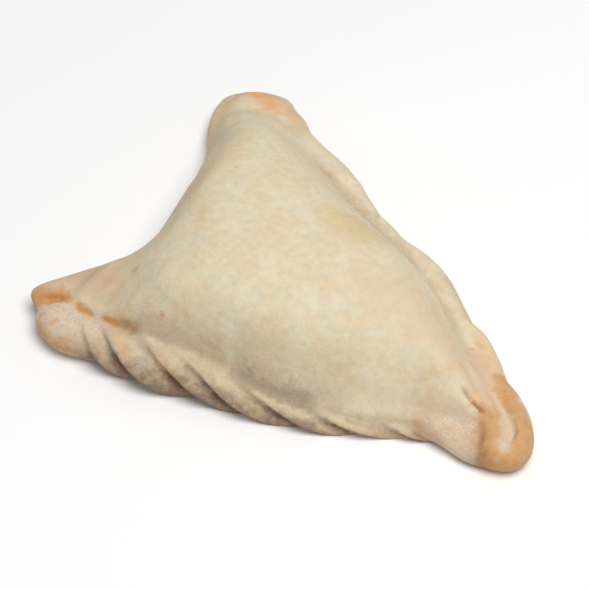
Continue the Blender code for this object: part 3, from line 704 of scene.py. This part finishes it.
# the next stops darken the dough where shade is painted
SHADE_TINT = ((0.0, WHOLE), (0.25, (0.84, 0.80, 0.755)), (0.55, (0.56, 0.49, 0.43)),
           (0.8, (0.37, 0.295, 0.235)), (1.0, (0.24, 0.17, 0.13)))
GRAIN_TINT = ((0.30, (0.88, 0.875, 0.87)), (0.5, WHOLE), (0.70, (1.08, 1.085, 1.09)))
MOTTLE_TINT = ((0.32, (0.95, 0.94, 0.92)), (0.5, WHOLE), (0.68, (1.035, 1.04, 1.05)))
# how many spots of each kind go in a metre, and how finely they are broken up
CLOUD, PATCHES, MOTTLE, GRAIN, FLECK = (120, 2), (270, 2), (520, 3), (2300, 2), (1700, 1)
# the stretch of a spot's value that counts, and how far it shifts a finish either way
UNEVEN_BAKE = (0.35, 0.65, -0.2, 0.2)
GRIT = (0.3, 0.7, -0.3, 0.3)
BROWN_STEADY = 3.0       # brown weaker than a third of the whole is shifted less
BROWN_SHOWS = (0.08, 0.5)
# flour: the stretch of fleck that it covers, what its strength adds to that, and how
# thickly it lies where it is strongest and everywhere
FLOUR_FLECKS, FLOUR_ADDS, FLOUR_COVER, THIN_COVER = (0.34, 0.76), 0.10, 0.58, 0.11
FLOUR_GRAIN, DOUGH_GRAIN = 0.75, 0.25
ROUGHNESS = (0.3, 0.7, 0.78, 0.92)     # stretch of the mottle, and the roughness over it
SHINE = 0.25
MOTTLE_DEPTH = 1.6       # for a grain of 1
BUMP_STRENGTH, BUMP_HEIGHT = 0.5, 0.0002

crust = bpy.data.materials.new("baked_dough")
crust.use_nodes = True
nodes, wires = crust.node_tree.nodes, crust.node_tree.links
shader = nodes["Principled BSDF"]


def feed(socket, value):
    """Wires a value that comes out of a node to a socket, or sets a plain one in it."""
    if isinstance(value, bpy.types.NodeSocket):
        wires.new(value, socket)
    else:
        socket.default_value = value


def set_in(node, **values):
    """Wires or sets a node's inputs, by their names."""
    for name, value in values.items():
        feed(node.inputs[name.replace("_", " ")], value)
    return node


here = nodes.new("ShaderNodeTexCoord").outputs["Object"]


def crumbs(scale, detail):
    """Fractal noise in the dough, as a value round 0.5."""
    texture = set_in(nodes.new("ShaderNodeTexNoise"), Vector=here, Scale=scale, Detail=detail)
    return texture.outputs["Fac"]


def baked_in(name):
    """A finish that was kept on the mesh."""
    layer = nodes.new("ShaderNodeAttribute")
    layer.attribute_name = name
    return layer.outputs["Fac"]


def sum_of(operation, first, second, third=0.0):
    """The outcome of one sum on two or three values."""
    sum_node = nodes.new("ShaderNodeMath")
    sum_node.operation = operation
    for socket, value in zip(sum_node.inputs, (first, second, third)):
        feed(socket, value)
    return sum_node.outputs[0]


def between(value, low, high, out_low=0.0, out_high=1.0):
    """A value taken from one range to another, and kept inside it."""
    span = nodes.new("ShaderNodeMapRange")
    set_in(span, Value=value, From_Min=low, From_Max=high, To_Min=out_low, To_Max=out_high)
    return span.outputs["Result"]


def shades(value, *stops):
    """A colour read from stops of (place, colour) by a value."""
    band_node = nodes.new("ShaderNodeValToRGB")
    wires.new(value, band_node.inputs["Fac"])
    band = band_node.color_ramp
    while len(band.elements) < len(stops):
        band.elements.new(1.0)
    for element, (place, colour) in zip(band.elements, stops):
        element.position = place
        element.color = (*colour, 1)
    return band_node.outputs["Color"]


def mixed(kind, share, under, over):
    """Two colours laid over each other. Inputs 6 and 7 and output 2 are the node's colours."""
    mix = nodes.new("ShaderNodeMix")
    mix.data_type = "RGBA"
    mix.blend_type = kind
    mix.clamp_result = False
    for socket, value in zip((mix.inputs[0], mix.inputs[6], mix.inputs[7]), (share, under, over)):
        feed(socket, value)
    return mix.outputs[2]


# the dough's own colour, then the bake over it, then the painted shade, the flour and the grain
cloud, patches, mottle, grain, fleck = (crumbs(*kind) for kind in (CLOUD, PATCHES, MOTTLE, GRAIN, FLECK))
floury = baked_in("floury")
uneven_bake = between(mottle, *UNEVEN_BAKE)
brown = baked_in("browned")
steady = sum_of("MINIMUM", sum_of("MULTIPLY", brown, BROWN_STEADY), 1.0)
brown = sum_of("MULTIPLY_ADD", steady, uneven_bake, brown)
colour = mixed("MULTIPLY", 1.0, shades(cloud, *PALE_DOUGH), shades(patches, *PATCH_TINT))
colour = mixed("MIX", baked_in("golden"), colour, GOLDEN)
blush = baked_in("blush")
colour = mixed("MIX", sum_of("MULTIPLY_ADD", blush, uneven_bake, blush), colour, BLUSH)
colour = mixed("MIX", baked_in("toasted"), colour, TOASTED)
colour = mixed("MIX", between(brown, *BROWN_SHOWS), colour, shades(brown, *BROWNING))
# painted shade, and a few grey spots, darken the colour
painted_shade_and_spots = baked_in("painted_shade_and_spots")
painted_shade_and_spots = sum_of("MULTIPLY_ADD", painted_shade_and_spots, between(fleck, *GRIT), painted_shade_and_spots)
colour = mixed("MULTIPLY", 1.0, colour, shades(painted_shade_and_spots, *SHADE_TINT))
dusting = between(sum_of("MULTIPLY_ADD", floury, FLOUR_ADDS, fleck), *FLOUR_FLECKS)
dusting = sum_of("MULTIPLY", dusting, sum_of("MULTIPLY_ADD", floury, FLOUR_COVER, THIN_COVER))
colour = mixed("MIX", dusting, colour, FLOUR)
graininess = sum_of("MULTIPLY_ADD", floury, FLOUR_GRAIN, DOUGH_GRAIN)
colour = mixed("MULTIPLY", graininess, colour, shades(grain, *GRAIN_TINT))
colour = mixed("MULTIPLY", 1.0, colour, shades(mottle, *MOTTLE_TINT))
relief = sum_of("MULTIPLY_ADD", mottle, MOTTLE_DEPTH, grain)
bumps = set_in(nodes.new("ShaderNodeBump"), Strength=BUMP_STRENGTH, Distance=BUMP_HEIGHT, Height=relief)
set_in(shader, Base_Color=colour, Roughness=between(mottle, *ROUGHNESS),
       Normal=bumps.outputs["Normal"], Specular_IOR_Level=SHINE)

dough.data.materials.clear()
dough.data.materials.append(crust)

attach(dough, "root")
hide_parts("empanada")

# ---------------------------------------------------------------------------
# The floor. A plain pale sheet of matt paper, wide enough to fill the picture, with its
# top at the height where the empanada rests.
FLOOR_SIDE = 6
FLOOR_COLOUR, FLOOR_ROUGHNESS = (0.95, 0.95, 0.95, 1), 0.9
bpy.ops.mesh.primitive_plane_add(size=FLOOR_SIDE)
floor = bpy.context.object
floor.name = "floor"
paper = bpy.data.materials.new("pale_floor")
paper.use_nodes = True
set_in(paper.node_tree.nodes["Principled BSDF"], Base_Color=FLOOR_COLOUR, Roughness=FLOOR_ROUGHNESS)
floor.data.materials.append(paper)

# ---------------------------------------------------------------------------
# The light. One round soft lamp above, a little to the right, and an even white sky all
# round, so that the shadows stay pale.
SKY_COLOUR, SKY_STRENGTH = (1, 1, 1, 1), 0.34
LAMP_PLACE, LAMP_WIDTH, LAMP_POWER = (0.26, -0.03, 0.86), 0.6, 6.6
world = bpy.data.worlds.new("studio")
bpy.context.scene.world = world
world.use_nodes = True
set_in(world.node_tree.nodes["Background"], Color=SKY_COLOUR, Strength=SKY_STRENGTH)
lamp = bpy.data.lights.new("lamp", "AREA")
lamp.shape = "DISK"
lamp.size = LAMP_WIDTH
lamp.energy = LAMP_POWER
lamp_object = bpy.data.objects.new("lamp", lamp)
bpy.context.scene.collection.objects.link(lamp_object)
lamp_object.location = LAMP_PLACE
lamp_object.rotation_euler = (-lamp_object.location).to_track_quat("-Z", "Y").to_euler()

# ---------------------------------------------------------------------------
# The camera. It looks down at the front right of the empanada, from the angle that the
# photograph was taken at, and its focal length is worked out for a picture 589 pixels wide.
ELEVATION, AZIMUTH, DISTANCE = math.radians(50), math.radians(39), 0.60
LOOKED_AT_HEIGHT = 0.0095
SENSOR_WIDTH, FOCAL_PIXELS, PICTURE_PIXELS = 36, 2400, 589
target = Vector((-FOOTPRINT_MIDDLE[0] * MM, -FOOTPRINT_MIDDLE[1] * MM, LOOKED_AT_HEIGHT))
back = Vector((math.sin(AZIMUTH) * math.cos(ELEVATION), -math.cos(AZIMUTH) * math.cos(ELEVATION),
               math.sin(ELEVATION)))
camera = bpy.data.cameras.new("camera")
camera.sensor_width = SENSOR_WIDTH
camera.lens = FOCAL_PIXELS * SENSOR_WIDTH / PICTURE_PIXELS
camera_object = bpy.data.objects.new("camera", camera)
bpy.context.scene.collection.objects.link(camera_object)
camera_object.location = target + back * DISTANCE
camera_object.rotation_euler = back.to_track_quat("Z", "Y").to_euler()
bpy.context.scene.camera = camera_object
bpy.context.scene.view_settings.view_transform = "Standard"
